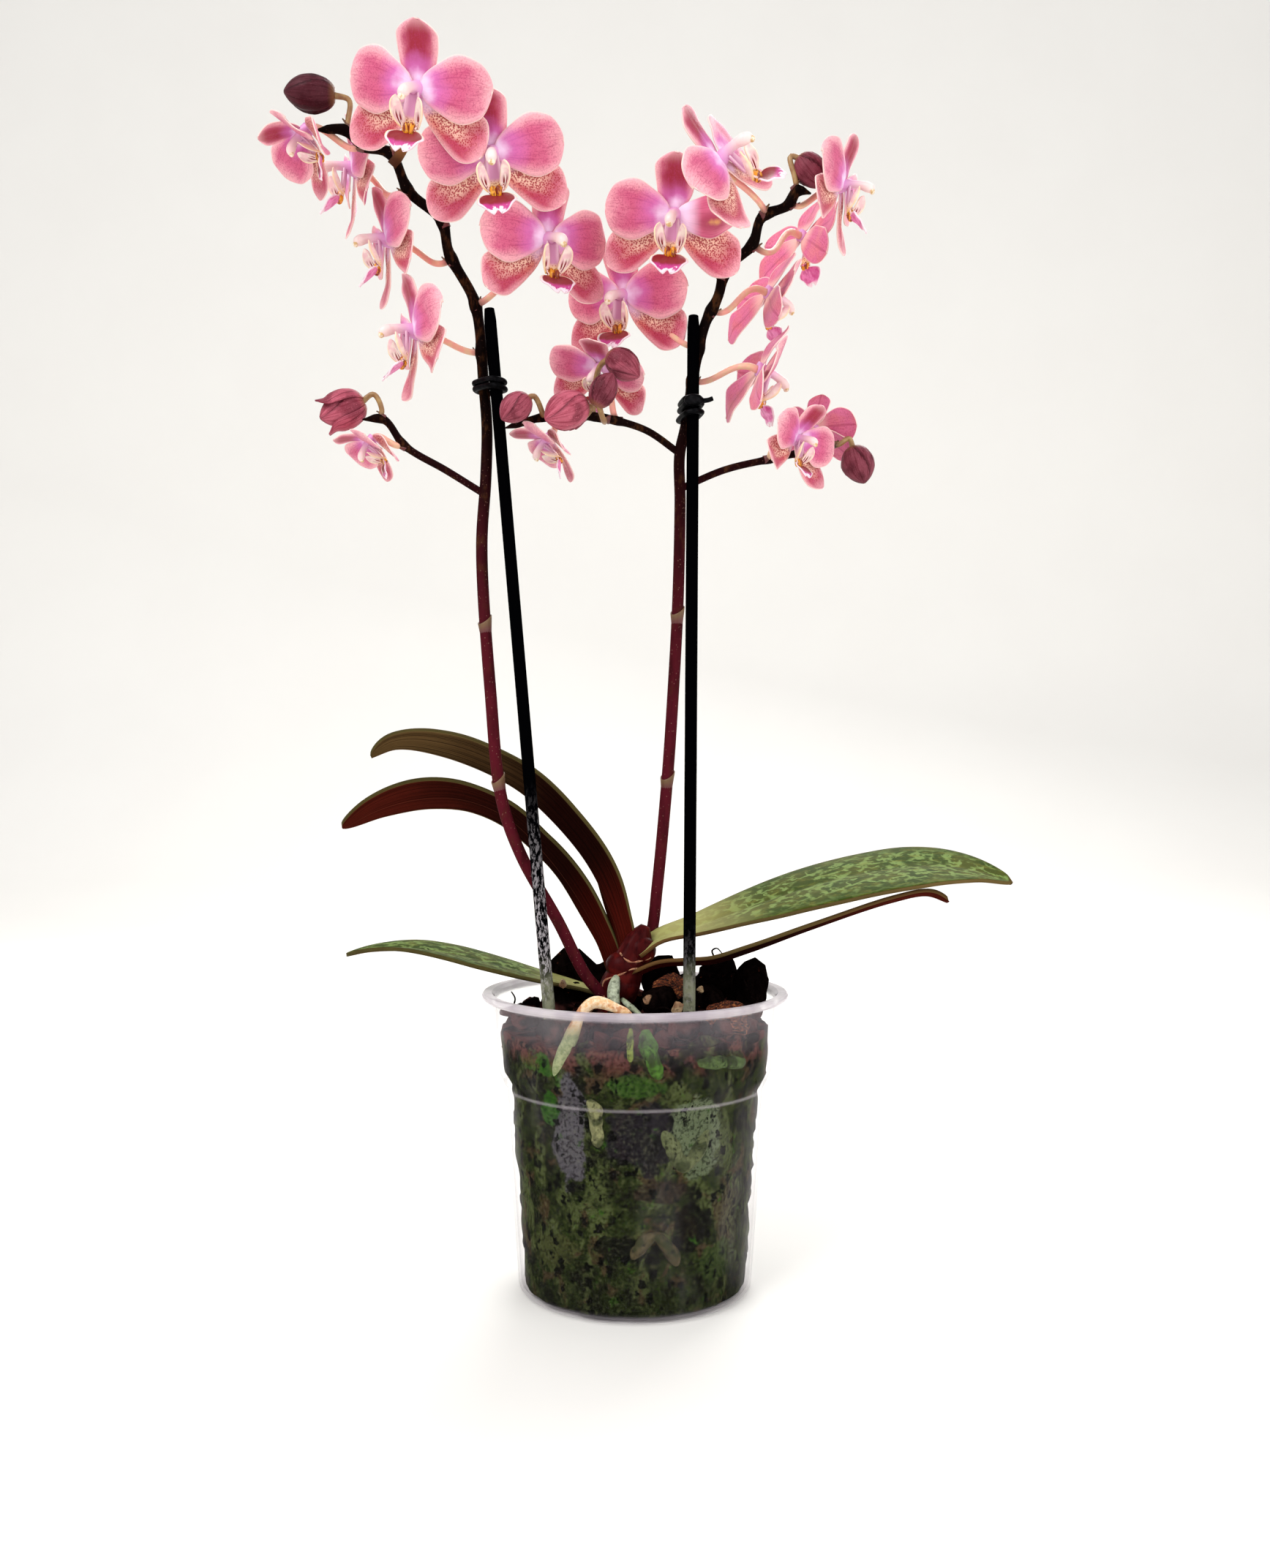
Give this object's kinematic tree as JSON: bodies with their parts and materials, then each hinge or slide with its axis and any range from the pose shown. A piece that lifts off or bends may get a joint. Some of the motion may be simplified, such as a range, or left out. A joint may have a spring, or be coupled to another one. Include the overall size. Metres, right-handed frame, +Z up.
{
  "type": "potted moth orchid",
  "caption": "Potted moth orchid with staked, branching flower spikes, broad arching leaves and a clear pot of bark with visible roots.",
  "frame": {"origin": "centre of the pot's flat base, on the surface that the pot stands on", "axes": "+Z up, -Y towards the front that the blooms face, +X to the right seen from the front"},
  "size_m": [0.2774, 0.1206, 0.4448],
  "materials": {
    "pot": "clear, slightly frosted and lilac",
    "bark": "rough broken bark",
    "crown": "waxy leaf sheath",
    "dark_leaf": "waxy, reddish underside",
    "green_leaf": "waxy, mottled with silver",
    "root": "spongy green root",
    "dry_root": "dried papery root",
    "stake": "black, speckled with mineral spots near the bark",
    "tie": "black",
    "stem": "waxy purple-brown",
    "bloom": "soft pink petal with a magenta lip",
    "bud": "waxy maroon"
  },
  "bodies": {
    "root": {"pot": "pot", "medium": "bark", "crown": "crown", "leaf_left_high": "dark_leaf", "leaf_left_mid": "dark_leaf", "leaf_left_low": "green_leaf", "leaf_right_high": "green_leaf", "leaf_right_low": "dark_leaf", "root_thin": "root", "root_broad": "root", "root_pale": "root", "root_fork": "root", "root_band": "root", "root_low": "root", "root_arch": "dry_root", "stake_left": "stake", "stake_right": "stake", "tie_left": "tie", "tie_right": "tie", "spike_left": "stem", "spike_right": "stem", "bloom_l1": "bloom", "bloom_l2": "bloom", "bloom_l3": "bloom", "bloom_l4": "bloom", "bloom_l5": "bloom", "bloom_l6": "bloom", "bloom_l7": "bloom", "bloom_l8": "bloom", "bloom_r1": "bloom", "bloom_r2": "bloom", "bloom_r3": "bloom", "bloom_r4": "bloom", "bloom_r5": "bloom", "bloom_r6": "bloom", "bloom_r7": "bloom", "bloom_r8": "bloom", "bloom_r9": "bloom", "bloom_r10": "bloom", "bloom_r11": "bloom", "bud_l1": "bud", "bud_l2": "bud", "bud_r1": "bud", "bud_r2": "bud", "bud_r3": "bud", "bud_r4": "bud", "bud_r5": "bud", "bud_r6": "bud"}
  },
  "joints": []
}
